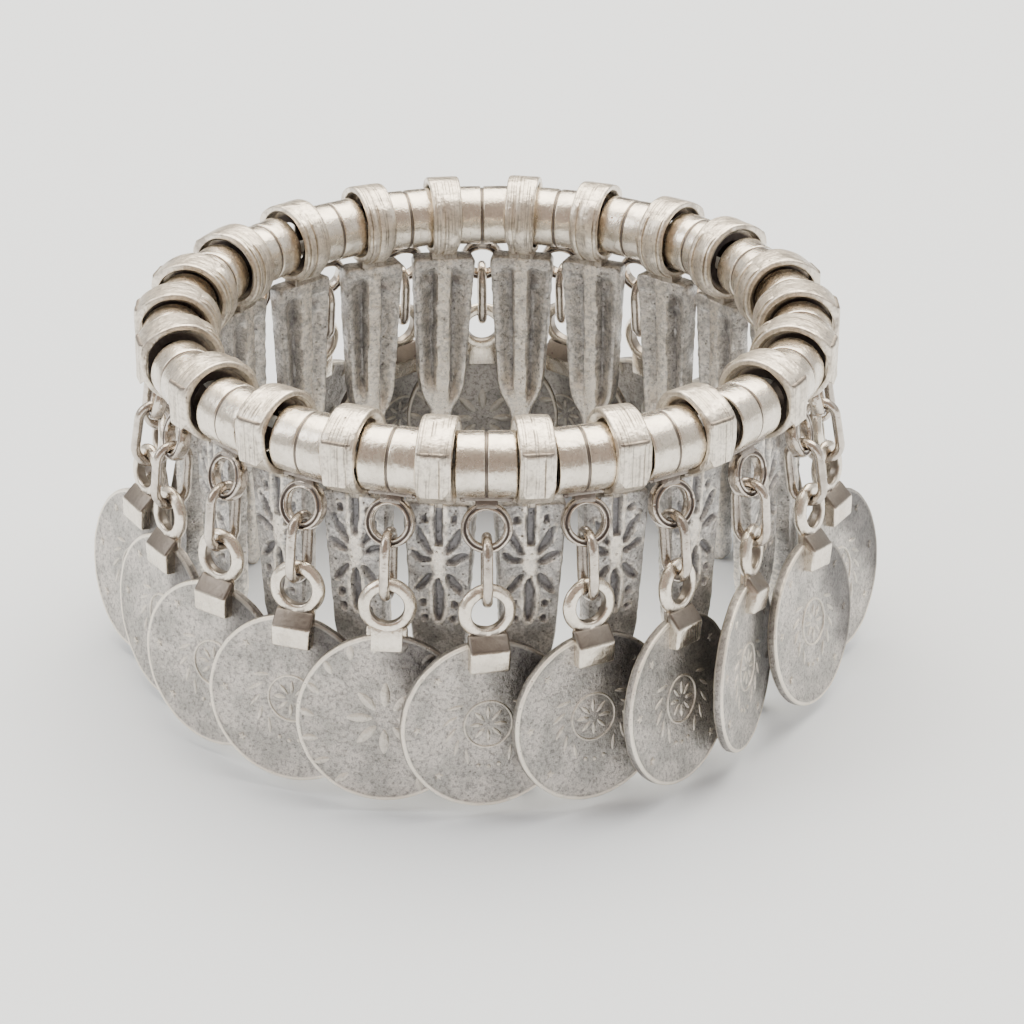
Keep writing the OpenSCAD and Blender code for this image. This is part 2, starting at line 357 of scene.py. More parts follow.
def brightSilver(name, wear, tints, dull):
    # wear makes it greyer and more pitted; dull is the least roughness
    s = Shader(name, Metallic=1.0)
    cloud = s.grain(2.2, 4)
    fine = s.grain(0.35, 4, 0.6)
    scratch = s.grain(0.5, 3, 0.7, stretch=(1, 1, 0.12))
    pits = s.cells(1.1).between(0.0, 0.16, 1.0, 0.0) * s.grain(1.7, 2).between(0.56, 0.66)
    hollow = s.mask("hollow")
    patches = s.grain(0.75, 3, 0.6)
    tint = s.blend(cloud.between(0.35, 0.7), tints[0], tints[1])
    tint = s.blend(patches.between(0.5, 0.7) * (0.15 + 0.3 * wear), tint, platingTones["patch"])
    tint = s.blend(fine.between(0.45, 0.8) * (0.35 + 0.35 * wear), tint, platingTones["speck"])
    # fine lines run round the collars, broken and wavering a little
    lane = s.mask("lane") * 4.5 + s.grain(9, 1) * 4
    inputs = {"W": lane, "Scale": 1, "Detail": 3}
    lines = s.add("ShaderNodeTexNoise", {"noise_dimensions": "1D"}, inputs)
    lines = lines.between(0.54, 0.66) * cloud.between(0.38, 0.6) * wear
    tint = s.blend(lines * 0.6, tint, platingTones["line"])
    # painted shade: where the hollow mask is set the plating is darkened as shade would darken it, together
    # with real pits
    grimeAndShade = (hollow + pits * 0.8).between(0.0, 1.0)
    tint = s.blend(grimeAndShade, tint, platingTones["grimeAndShade"])
    rough = cloud.between(0.3, 0.75, dull, dull + 0.1 + 0.04 * wear)
    rough = rough + scratch.between(0.5, 0.75, 0.0, 0.10) + hollow.between(0.3, 1.0) * 0.25
    skin = s.bump(s.grain(1.0, 2) + scratch * 0.15 - pits * 0.5 - lines * 0.5, 0.06 + 0.06 * wear)
    skin = s.bump(fine, 0.022 + 0.016 * wear, under=skin)
    return s.feed(Base_Color=tint, Roughness=rough, Normal=skin)


# the sunk tone is the colour of the painted shade in the slots and grooves
castTones = {
    "light": (0.78, 0.755, 0.73, 1), "dark": (0.47, 0.46, 0.45, 1),
    "mottle": (0.25, 0.245, 0.25, 1), "speck": (0.17, 0.167, 0.17, 1),
    "pit": (0.06, 0.057, 0.055, 1), "worn": (0.93, 0.865, 0.77, 1), "sunk": (0.26, 0.257, 0.27, 1),
}


def castSilver(name):
    s = Shader(name, Metallic=1.0)
    cloud = s.grain(1.6, 4)
    fine = s.grain(0.22, 4, 0.65)
    pits = s.cells(0.5).between(0.0, 0.34, 1.0, 0.0) * s.grain(0.9, 3).between(0.42, 0.58)
    hollow = s.mask("hollow")
    rim = s.mask("rim")
    mottle = s.grain(0.5, 4, 0.7)
    body = s.blend(cloud.between(0.36, 0.66), castTones["light"], castTones["dark"])
    body = s.blend(mottle.between(0.46, 0.62) * 0.5, body, castTones["mottle"])
    body = s.blend(fine.between(0.42, 0.7) * 0.55, body, castTones["speck"])
    body = s.blend(pits * 0.8, body, castTones["pit"])
    worn = rim * fine.between(0.2, 0.5, 0.6, 1.0) * mottle.between(0.35, 0.62, 1.0, 0.5)
    worn = worn.between(0.1, 0.75)
    body = s.blend(worn, body, castTones["worn"])
    # painted shade: slots and grooves are darkened where the hollow mask is set
    body = s.blend(hollow.between(0.1, 0.95) * 0.85, body, castTones["sunk"])
    rough = fine.between(0.3, 0.7, 0.36, 0.52) - worn * 0.12 + hollow * 0.2
    skin = s.bump(cloud, 0.16)
    skin = s.bump(mottle, 0.09, under=skin)
    skin = s.bump(fine * 0.7 - pits, 0.12, under=skin)
    return s.feed(Base_Color=body, Roughness=rough, Normal=skin)


coinTones = {
    "light": (0.70, 0.655, 0.61, 1), "dark": (0.48, 0.46, 0.43, 1),
    "spot": (0.20, 0.192, 0.19, 1), "speck": (0.12, 0.115, 0.11, 1),
    "pit": (0.05, 0.047, 0.045, 1), "worn": (0.95, 0.88, 0.77, 1), "paintedShade": (0.055, 0.052, 0.056, 1),
}


def coinSilver(name):
    s = Shader(name, Metallic=1.0)
    cloud = s.grain(3.0, 5, 0.6)
    spots = s.grain(0.36, 4, 0.7)
    fine = s.grain(0.13, 3, 0.7)
    pits = s.cells(0.55).between(0.0, 0.3, 1.0, 0.0) * s.grain(1.3, 3).between(0.5, 0.62)
    rim = s.mask("rim")
    hollow = s.mask("hollow")
    body = s.blend(cloud.between(0.38, 0.62), coinTones["light"], coinTones["dark"])
    body = s.blend(spots.between(0.45, 0.66) * 0.66, body, coinTones["spot"])
    body = s.blend(fine.between(0.45, 0.7) * 0.4, body, coinTones["speck"])
    body = s.blend(pits * 0.65, body, coinTones["pit"])
    worn = (rim * fine.between(0.2, 0.5, 0.6, 1.0)).between(0.15, 0.9)
    body = s.blend(worn, body, coinTones["worn"])
    # painted shade: the hollow mask darkens each coin towards its top and one side; the side towards the
    # wrist is darkened all over
    body = s.blend(hollow, body, coinTones["paintedShade"])
    rough = spots.between(0.3, 0.7, 0.36, 0.48) - worn * 0.1
    skin = s.bump(s.grain(1.1, 3), 0.16)
    skin = s.bump(spots, 0.10, under=skin)
    skin = s.bump(fine - pits, 0.04, under=skin)
    return s.feed(Base_Color=body, Roughness=rough, Normal=skin)


def elasticRubber(name):
    s = Shader(name, IOR=1.45)
    weave = s.grain(0.4, 2, stretch=(1, 1, 3))
    tint = s.blend(weave, (0.86, 0.86, 0.83, 1), (0.70, 0.70, 0.67, 1))
    rough = weave.between(0.2, 0.8, 0.35, 0.5)
    return s.feed(Base_Color=tint, Roughness=rough, Normal=s.bump(weave, 0.04))


def floorPaper(name):
    s = Shader(name, Roughness=0.85, Specular_IOR_Level=0.2)
    cloud = s.grain(220, 3)
    tint = s.blend(cloud, (0.78, 0.84, 0.92, 1), (0.815, 0.875, 0.95, 1))
    return s.feed(Base_Color=tint, Normal=s.bump(s.grain(1.2, 3), 0.01))


plate = ((0.91, 0.83, 0.715, 1), (0.77, 0.70, 0.60, 1))
bright = brightSilver("polishedSilverPlate", 0.0, plate, 0.2)
collarSkin = brightSilver("rubbedSilverPlate", 1.0, plate, 0.3)
oxidised = ((0.74, 0.67, 0.59, 1), (0.47, 0.42, 0.37, 1))
wire = brightSilver("oxidisedWire", 0.3, oxidised, 0.13)
cast = castSilver("darkenedCasting")
coinSkin = coinSilver("mattCoinSilver")
print("materials made")

# Barrels and their eyelets

barrel = {
    "outer": 3.15, "bore": 2.45, "half": 2.95,
    "groove": 0.17, "grooveHalf": 0.1,
    "steps": 40, "uneven": 0.03,
    "boreDark": 0.8, "grooveDark": 0.75, "endDark": 0.3,
    "rollStep": 47,      # each barrel is rolled this much further, so that no two look alike
}
eyelet = {
    "middle": 5.95, "outer": 2.45, "hole": 1.6, "deep": 0.65, "steps": 36, "uneven": 0.03,
    "grooveDark": 0.85, "dark": 0.12,
}
saddle = {
    "clear": 0.25, "deep": 0.62, "foot": 1.05, "nub": 0.34, "dark": 0.62,
}


def barrelMesh():
    bm = newShape()
    r, b, h, g = barrel["outer"], barrel["bore"], barrel["half"], barrel["groove"]
    w = barrel["grooveHalf"]
    chain = roundedProfile([
        (b, -h, 0.12), (r, -h, 0.3), (r, -w - 0.08, 0.1), (r - g, -w, 0.05),
        (r - g, w, 0.05), (r, w + 0.08, 0.1), (r, h, 0.3), (b, h, 0.12),
    ], span=0.75)
    made = spinChain(bm, chain, "X", barrel["steps"])
    layer = bm.verts.layers.float["hollow"]
    # painted shade: the bore and the end faces are darkened as shade would darken them; the groove is
    # darker as well
    for v in made:
        away = math.hypot(v.co.y, v.co.z)
        if away < b + 0.25:
            v[layer] = barrel["boreDark"]
        elif away < r - 0.1 and abs(v.co.x) < 0.3:
            v[layer] = barrel["grooveDark"]
        elif abs(v.co.x) > h - 0.08:
            v[layer] = barrel["endDark"]
    roughened(made, barrel["uneven"], 1.7, 1)
    return asMesh(bm, "barrelShape")


def eyeletMesh():
    bm = newShape()
    o, h, d = eyelet["outer"], eyelet["hole"], eyelet["deep"]
    half = [
        (h, 0.25, 0.1), (h + 0.06, d - 0.1, 0.08), (h + 0.2, d, 0.1), (h + 0.34, d - 0.12, 0.08),
        (o - 0.36, d - 0.16, 0.06), (o - 0.24, d, 0.1), (o - 0.08, d - 0.1, 0.08), (o, 0.25, 0.12),
    ]
    corners = half + [(r, -y, soft) for r, y, soft in reversed(half)]
    made = spinChain(bm, roundedProfile(corners, steps=2), "Y", eyelet["steps"])
    for v in made:
        away = math.hypot(v.co.x, v.co.z)
        groove = h + 0.28 < away < o - 0.3
        v[bm.verts.layers.float["hollow"]] = eyelet["grooveDark"] if groove else eyelet["dark"]
    roughened(made, eyelet["uneven"], 0.9, 2)
    bmesh.ops.translate(bm, vec=(0, 0, -eyelet["middle"]), verts=made)
    return asMesh(bm, "eyeletShape")


def saddleMesh(space):
    # the little foot between barrel and eyelet, as wide as the collars leave space for
    bm = newShape()
    w = space - saddle["clear"]
    deep, foot = saddle["deep"], saddle["foot"]
    block(bm, (-w, -deep, -3.42), (w, deep, -2.75), 0.15)
    block(bm, (-foot, -deep + 0.02, -4.2), (foot, deep - 0.02, -3.2), 0.2)
    for side in (-1, 1):
        nub = bmesh.ops.create_icosphere(bm, subdivisions=2, radius=saddle["nub"])["verts"]
        bmesh.ops.translate(bm, vec=(side * w, -0.15, -3.22), verts=nub)
    # painted shade: the whole foot is darkened as the shade under the barrel
    painted(bm, bm.verts, "hollow", saddle["dark"])
    return asMesh(bm, "saddleShape")


collarHalf = 1.7
barrelShape = barrelMesh()
eyeletShape = eyeletMesh()
stringMesh = newShape()
eyeletsMesh = newShape()
for i in range(count):
    space = (ring["radius"] - 1) * math.sin(math.radians(roomBeside(i))) - collarHalf
    place = barrelPlace(i)
    stamp(stringMesh, barrelShape, place @ turned("X", barrel["rollStep"] * i))
    stamp(eyeletsMesh, eyeletShape, place)
    stamp(eyeletsMesh, saddleMesh(space), place)
addPiece("barrelString", asMesh(stringMesh, "barrelString"), bright, "bright_silver", "barrels")
addPiece("eyelets", asMesh(eyeletsMesh, "eyelets"), wire, "bright_silver", "barrels")
print("barrels made")

# Links

link = {
    "wire": 1.0, "long": 7.35, "wide": 4.3, "play": 0.1,
    "steps": 40, "wireSteps": 14, "uneven": 0.05,
    "insideDark": 0.5, "dark": 0.12, "darkVaries": 0.35,
}


def linkMesh():
    bm = newShape()
    bend = (link["wide"] - link["wire"]) / 2
    turns = [a * full / link["wireSteps"] for a in range(link["wireSteps"])]
    thin = link["wire"] / 2
    chain = [(bend + thin * math.cos(a), thin * math.sin(a)) for a in turns]
    made = spinChain(bm, chain, "X", link["steps"])
    leg = link["long"] - link["wide"]
    drop = link["long"] / 2 - link["wire"] - link["play"]
    for v in made:
        dark = link["dark"] + link["darkVaries"] * noise.noise(v.co / 1.2)
        # painted shade: the side of the wire facing across the link is darker; elsewhere the tone varies at
        # random
        if math.hypot(v.co.y, v.co.z) < bend - 0.2:
            dark = link["insideDark"]
        v[bm.verts.layers.float["hollow"]] = dark
        v.co.z += leg / 2 if v.co.z > 0 else -leg / 2
    bmesh.ops.translate(bm, vec=(0, 0, -drop), verts=made)
    roughened(made, link["uneven"], 1.3, 3)
    return asMesh(bm, "linkShape")


linkShape = linkMesh()
chainMesh = newShape()
for i in range(count):
    stamp(chainMesh, linkShape, hungPlace(i) @ turned("Z", hang[i]["yaw"]))
addPiece("ovalLinks", asMesh(chainMesh, "ovalLinks"), wire, "bright_silver", "links")
print("links made")

# Collars and spikes

collar = {
    "sleeve": 3.42, "mouth": 3.6, "outer": 4.15, "half": collarHalf,
    "inward": 0.32, "up": 0.25, "uneven": 0.045,
    "sleeveOut": 0.32, "sleeveDown": 0.2,    # how the sleeve lies in the band
    "webInner": 2.1, "webHalf": 0.3,
    "ribs": ((-1.3, 0.4), (0.75, 1.35)), "ribHigh": 0.2,
    "ribSteps": 26, "ribFrom": 28, "ribArc": 140,
    "fuller": 0.42,                          # the band beyond a circle, above the plate
    "narrows": 0.08, "narrowsBelow": 0.2,
    "plateOut": 3.92, "plateHalf": 1.55, "plateLow": -1.9, "plateHigh": 2.6,
    "seamAt": 2.33, "seamDeep": 0.08,
    "plateCuts": [-1.3, -0.7, -0.1, 0.5, 1.1, 1.6, 2.0, 2.33, 2.39, 2.46],
    "steps": 56,
}
# fine lines down the front plate of each kind of collar: where, how deep
plateLines = [[(0.62, 0.09)], [(-0.35, 0.05), (0.85, 0.1)], [(1.0, 0.07), (0.2, 0.05)]]
spike = {
    "outerFace": -0.2, "thick": 2.2, "top": 4.2,
    "columns": 30, "uneven": 0.07, "unevenInner": 0.06,
    "rows": [(0.4, 0.1), (13.2, 0.18), (19.4, 0.45), (29.4, 0.55), (30.5, 0.16)],   # down to, step
    "halfWidths": [      # below the top, half width
        (0, 2.85), (0.12, 3.2), (0.5, 3.4), (1.4, 3.36), (14, 2.65), (15.2, 2.5), (16.1, 2.25),
        (17, 1.87), (17.9, 1.4), (18.7, 1.15), (19.4, 1.04), (20.4, 1.0), (23.8, 1.03),
        (29, 1.2), (29.7, 1.17), (30.15, 0.95), (30.5, 0.5),
    ],
    "slotDeep": 0.45, "rimHigh": 0.18, "rosetteEnds": 13.4,
    "grooveDeep": 1.1, "ribHalf": 0.92, "ribNarrows": 0.18, "ribCrown": 0.12,
    "softAbove": 0.28, "softBelow": 0.5, "softFrom": 17,
    "tipFrom": 29.0, "tipIn": 0.6,
}
# the rosette's slots: from (x, below the top) to (x, below the top), half width, how pointed
slots = [
    (0, -0.4, 0, 3.9, 0.38, 0.25),
    (0, 7.8, 0, 12.2, 0.44, 1.0),
]
for side in (-1, 1):
    slots += [
        (side * 2.15, 2.5, side * 0.85, 5.1, 0.36, 0.85),
        (side * 2.5, 5.25, side * 1.05, 5.95, 0.31, 0.5),
        (side * 0.85, 7.5, side * 2.1, 9.1, 0.36, 0.8),
        (side * 1.45, 1.4, side * 1.4, 1.7, 0.25, 0),
        (side * 1.5, 10.3, side * 1.5, 10.5, 0.26, 0),
        (side * 1.35, 11.95, side * 1.35, 12.1, 0.24, 0),
    ]


def slotDistance(x, below, slot):
    x1, t1, x2, t2, wide, pointed = slot
    along = Vector((x2 - x1, t2 - t1))
    t = min(max(((x - x1) * along.x + (below - t1) * along.y) / along.length_squared, 0.0), 1.0)
    gap = math.hypot(x - x1 - along.x * t, below - t1 - along.y * t)
    return gap - wide * math.sqrt(max(1 - pointed * (2 * t - 1) ** 2, 0.0))


def rosette(x, below, variant):
    # how far the face rises here, with a mask for the slots, which also paints shade into them, and one for
    # the worn rims
    sway = Vector((x * 0.9, below * 0.9, variant * 9.1))
    x += 0.16 * noise.noise(sway)
    below += 0.22 * noise.noise(sway + Vector((40, 0, 0)))
    nearest = min(slotDistance(x, below, slot) for slot in slots)
    central = min(slotDistance(x, below, slot) for slot in slots[:2])
    hollow = 1 - smoothStep(-0.16, 0.1, nearest)
    patchy = 0.55 + 0.9 * noise.noise(sway * 1.6)
    rim = math.exp(-((nearest - 0.2) / 0.15) ** 2) * min(max(patchy, 0.2), 0.9)
    rim = max(rim, math.exp(-((central - 0.3) / 0.24) ** 2))
    heart = math.hypot(x / 0.8, (below - 5.9) / 1.9)
    rim = max(rim, 1 - smoothStep(0.7, 1.1, heart)) * (1 - hollow)
    high = spike["rimHigh"] * rim - spike["slotDeep"] * hollow
    return high, hollow, rim


def innerGroove(x, below, variant):
    # a broad rib with a groove on each side, deepest beside the rib; the right one ends sooner. The grooves
    # beside the rib also get painted shade.
    foot = 17.6 if x < 0 else 15.6 + variant * 0.4
    sway = 0.12 * noise.noise(Vector((below * 0.5, x, variant * 4.3)))
    half = tableValue(spike["halfWidths"], below)
    rib = spike["ribHalf"] - spike["ribNarrows"] * below / foot + sway
    rest = max(half - 0.35 - rib, 0.1)
    out = (abs(x) - rib) / rest
    across = smoothStep(-0.08, 0.12, out) * (1 - smoothStep(0.12, 1.0, out) * 0.85)
    ends = smoothStep(1.0, 2.2, below) * (1 - smoothStep(foot - 2.2, foot, below))
    pocket = math.exp(-((below - 3.2 - sway * 6) / 0.7) ** 2)
    pocket *= smoothStep(0.0, 0.15, out) * (1 - smoothStep(0.3, 0.7, out))
    if x > 0:
        pocket *= 0.5
    crown = spike["ribCrown"] * (1 - min(abs(x) / rib, 1.0) ** 2)
    dark = across * ends * (1 - smoothStep(0.05, 0.45, out))
    deep = across * ends - 0.35 * pocket - crown * 0.5
    return deep, max(dark, pocket)


def spikeMesh(variant):
    bm = newShape()
    below = [0.0]
    for end, step in spike["rows"]:
        while below[-1] < end - step / 2:
            below.append(min(below[-1] + step, spike["rows"][-1][0]))
    below[-1] = spike["rows"][-1][0]
    rows = len(below) - 1
    hollowLayer = bm.verts.layers.float["hollow"]
    rimLayer = bm.verts.layers.float["rim"]
    for face in ("outer", "inner"):
        grid = bmesh.ops.create_grid(bm, x_segments=spike["columns"], y_segments=rows, size=1)["verts"]
        for v in grid:
            t = below[round((1 - v.co.y) / 2 * rows)]
            half = tableValue(spike["halfWidths"], t)
            x = v.co.x * half
            edge = min(half - abs(x), t * 1.2 + 0.02)
            soft = spike["softAbove"] if t < spike["softFrom"] else spike["softBelow"]
            inset = soft * (1 - math.sqrt(max(1 - (max(soft - edge, 0) / soft) ** 2, 0.0)))
            inset += spike["tipIn"] * smoothStep(spike["tipFrom"], below[-1], t)
            if face == "outer":
                high, hollow, rim = rosette(x, t, variant) if t < spike["rosetteEnds"] else (0, 0, 0)
                y = spike["outerFace"] + inset - high
            else:
                deep, hollow = innerGroove(x, t, variant)
                crown = 1 - smoothStep(0.6, 0.95, abs(x))
                rim = (0.42 + 0.28 * crown + 0.3 * smoothStep(10, 16, t)) * (1 - hollow)
                hollow *= 0.6
                y = spike["outerFace"] + spike["thick"] - inset - spike["grooveDeep"] * deep
            v.co = (x, y, -spike["top"] - t)
            v[hollowLayer] = hollow
            v[rimLayer] = max(rim, 0.0)
    border = [e for e in bm.edges if e.is_boundary]
    bmesh.ops.bridge_loops(bm, edges=border)
    bmesh.ops.recalc_face_normals(bm, faces=bm.faces)
    roughened(bm.verts, spike["uneven"], 0.9, 4 + variant)
    inner = [v for v in bm.verts if v.co.y > spike["outerFace"] + spike["thick"] / 2]
    roughened(inner, spike["unevenInner"], 0.4, 14 + variant)
    return asMesh(bm, "spikeShape")


def collarMesh(variant):
    bm = newShape()
    o, b, h, s = collar["outer"], collar["mouth"], collar["half"], collar["sleeve"]
    chain = roundedProfile([
        (s, -h + 0.55, 0.1), (b, -h, 0.1), (o - 0.04, -h, 0.2), (o + 0.02, -h + 0.5, 0.2),
        (o, h - 0.5, 0.2), (o - 0.04, h, 0.2), (b, h, 0.1), (s, h - 0.55, 0.1),
    ], span=0.7)
    band = spinChain(bm, chain, "X", collar["steps"])
    inmost, wide = collar["webInner"], collar["webHalf"]
    webChain = roundedProfile([
        (inmost, -wide, 0.1), (s + 0.1, -wide, 0.02), (s + 0.1, wide, 0.02), (inmost, wide, 0.1),
    ], steps=2)
    web = spinChain(bm, webChain, "X", 32)
    # painted shade: the web inside the band is painted nearly black, as the shade there
    painted(bm, web, "hollow", 0.9)
    # the sleeve lies nearer the barrels than the band does
    for v in band + web:
        away = math.hypot(v.co.y, v.co.z)
        inner = 1 - smoothStep(s + 0.02, b - 0.02, away)
        # painted shade: the inside of the mouth is darkened
        if away > s - 0.1:
            v[bm.verts.layers.float["hollow"]] = 0.3 * inner
        v.co.y -= collar["sleeveOut"] * inner
        v.co.z -= collar["sleeveDown"] * inner
    # a broad and a narrow rib on the inner side run down into the spike
    top = o + collar["ribHigh"]
    back = Matrix.Rotation(-math.radians(collar["ribFrom"]), 3, "X")
    for low, high in collar["ribs"]:
        ribChain = roundedProfile([
            (o - 0.15, low, 0.05), (top, low, 0.15), (top, high, 0.15), (o - 0.15, high, 0.05),
        ], steps=2)
        rib = spinChain(bm, ribChain, "X", collar["ribSteps"], angle=-math.radians(collar["ribArc"]))
        bmesh.ops.rotate(bm, cent=(0, 0, 0), matrix=back, verts=rib)
        for v in rib:
            sunk = 0.07 * smoothStep(40, 61, math.degrees(math.atan2(v.co.z, v.co.y)))
            v.co.y *= 1 - sunk
            v.co.z *= 1 - sunk
    # above the plate the band is fuller than a circle
    for v in band:
        if v.co.y < 0 and math.hypot(v.co.y, v.co.z) > b + 0.3:
            v.co.y -= collar["fuller"] * smoothStep(0.2, 2.4, v.co.z) * (1 - smoothStep(2.4, 4.1, v.co.z))
    # the band narrows on the inner side, most of all near the neck
    for v in bm.verts:
        inwards = smoothStep(-1.0, 3.5, v.co.y)
        down = smoothStep(-0.5, -4.0, v.co.z) if v.co.z < -0.5 else 0.0
        v.co.x *= 1 - collar["narrows"] * inwards - collar["narrowsBelow"] * inwards * down
    made = list(bm.verts)
    bmesh.ops.translate(bm, vec=(0, collar["inward"], collar["up"]), verts=made)
    # flat front plate with side facets, a seam along its top and fine lines down it
    plateFrom = set(bm.verts)
    p, w = -collar["plateOut"], collar["plateHalf"]
    lean = (0.3, 0.45, 0.2)[variant]
    outline = [
        (-w, -3.0), (-w, p + 0.26), (-w + lean, p),
        (w - 0.7 + lean / 2, p), (w, p + 0.32), (w, -3.0),
    ]
    plateVerts = [bm.verts.new((x, y, collar["plateLow"])) for x, y in outline]
    base = bm.faces.new(plateVerts)
    grown = bmesh.ops.extrude_face_region(bm, geom=[base])["geom"]
    lifted = [g for g in grown if isinstance(g, bmesh.types.BMVert)]
    bmesh.ops.translate(bm, vec=(0, 0, collar["plateHigh"] - collar["plateLow"]), verts=lifted)
    both = plateVerts + lifted
    bmesh.ops.recalc_face_normals(bm, faces=list({f for v in both for f in v.link_faces}))
    for v in plateVerts:
        if abs(v.co.x) > w - 0.1:
            v.co.z += 0.65
    edges = list({e for v in both for e in v.link_edges})
    bmesh.ops.bevel(bm, geom=edges, offset=0.13, offset_type="OFFSET", affect="EDGES",
                    segments=3, profile=0.5, material=-1, clamp_overlap=True)
    cuts = [((0, 0, z), (0, 0, 1)) for z in collar["plateCuts"]]
    for at, deep in plateLines[variant]:
        cuts += [((at + step, 0, 0), (1, 0, 0)) for step in (-0.09, 0, 0.09)]
    cuts += [((x, 0, 0), (1, 0, 0)) for x in (-1.1, -0.75, 0.45)]
    for spot, across in cuts:
        plate = [v for v in bm.verts if v not in plateFrom]
        geom = plate + list({e for v in plate for e in v.link_edges})
        geom += list({f for v in plate for f in v.link_faces})
        bmesh.ops.bisect_plane(bm, geom=geom, dist=0.001, plane_co=spot, plane_no=across)
    plate = [v for v in bm.verts if v not in plateFrom]
    for v in plate:
        if v.co.y > -3.2:
            continue
        ragged = 0.12 * noise.noise(Vector((v.co.x * 1.4, variant * 5.0, 0)))
        seam = smoothStep(collar["seamAt"] + ragged, collar["seamAt"] + 0.05 + ragged, v.co.z)
        v.co.y += collar["seamDeep"] * seam
        v[bm.verts.layers.float["hollow"]] = 0.7 * seam
        for at, deep in plateLines[variant]:
            if abs(v.co.x - at) < 0.02 and v.co.z < 2.3:
                v.co.y += deep
                v[bm.verts.layers.float["hollow"]] = 0.6
    # neck between band and spike
    f, t = spike["outerFace"], spike["thick"]
    neck = block(bm, (-1.45, f + 0.12, -4.75), (1.45, f + t - 0.05, -3.3), 0.3)
    # painted shade: the neck under the band is darkened
    painted(bm, neck, "hollow", 0.5)
    for v in bm.verts:
        v[bm.verts.layers.float["lane"]] = v.co.x + 7 * variant
    roughened(bm.verts, collar["uneven"], 1.3, 5 + variant)
    return asMesh(bm, "collarShape")


spikeShapes = [spikeMesh(variant) for variant in range(3)]
collarShapes = [collarMesh(variant) for variant in range(3)]
print("spike and collar shapes made:", len(spikeShapes[0].polygons), len(collarShapes[0].polygons))
for i in range(count):
    place = spacerPlace(i)
    number = f"{i + 1:02d}"
    bm = newShape()
    stamp(bm, collarShapes[i % 3], place)
    mesh = asMesh(bm, "collar" + number)
    addPiece("collar" + number, mesh, collarSkin, "antique_silver", "spacer_" + number)
    bm = newShape()
    stamp(bm, spikeShapes[(i * 2) % 3], place)
    mesh = asMesh(bm, "spike" + number)
    addPiece("spike" + number, mesh, cast, "antique_silver", "spacer_" + number)
print("spiked collars made")

# Coins with their bails

coin = {
    "radius": 8.5, "field": 0.4, "rim": 0.5, "rimFrom": 8.0,
    "relief": 0.15, "steps": 96, "uneven": 0.035, "fieldUneven": 0.02,
    "worn": 0.55, "rimWorn": 0.95, "edgeWorn": 0.1,
    # painted shade on each coin: where it starts and where it is full towards the top and one side, and how
    # dark; wristSide darkens the side towards the wrist
    "paintedShadeFrom": 1.8, "paintedShadeTo": 5.4, "paintedShade": 0.75, "wristSide": 0.4,
}
bail = {
    "outer": 2.8, "hole": 1.6, "half": 0.575,
    "wedgeHalf": 1.975, "steps": 44, "uneven": 0.03,
    "facetDark": 0.7, "facetLowDark": 0.75, "boreDark": 0.62,
}


def leafMesh():
    # a domed leaf, one long and one wide, its foot at the origin, standing towards -Y
    bm = newShape()
    made = bmesh.ops.create_circle(bm, cap_ends=True, segments=14, radius=0.5)["verts"]
    for v in made:
        v.co = (v.co.x * (1 - 1.2 * v.co.y ** 2), 0, v.co.y + 0.5)
    crowned(bm)
    return asMesh(bm, "leafShape")


def starMesh():
    bm = newShape()
    made = bmesh.ops.create_circle(bm, cap_ends=True, segments=10, radius=1)["verts"]
    for k, v in enumerate(made):
        far = 1.0 if k % 2 == 0 else 0.46
        v.co = (v.co.x * far, 0, v.co.y * far)
    crowned(bm)
    return asMesh(bm, "starShape")


def crowned(bm):
    # the flat outline gets a low dome, one high
    face = bm.faces[:][0]
    grown = bmesh.ops.extrude_face_region(bm, geom=[face])["geom"]
    lifted = [g for g in grown if isinstance(g, bmesh.types.BMVert)]
    middle = sum((v.co for v in lifted), Vector()) / len(lifted)
    for v in lifted:
        v.co = middle + (v.co - middle) * 0.78 + Vector((0, -0.6, 0))
    top = [g for g in grown if isinstance(g, bmesh.types.BMFace)]
    peak = bmesh.ops.poke(bm, faces=top)["verts"]
    bmesh.ops.translate(bm, vec=(0, -0.4, 0), verts=peak)
    bmesh.ops.recalc_face_normals(bm, faces=bm.faces)
    painted(bm, bm.verts, "rim", coin["worn"])


def reliefPlace(angle, away, spin, long, wide, side):
    # a place on the coin's face, at an angle from its foot, scaled to the leaf or star
    turnY = turned("Y", angle)
    size = Matrix.Diagonal((wide, coin["relief"], long, 1))
    flat = turnY @ moved(0, -coin["field"] + 0.01, -away) @ turned("Y", spin) @ size
    return (turned("Z", 180) @ flat) if side == "back" else flat


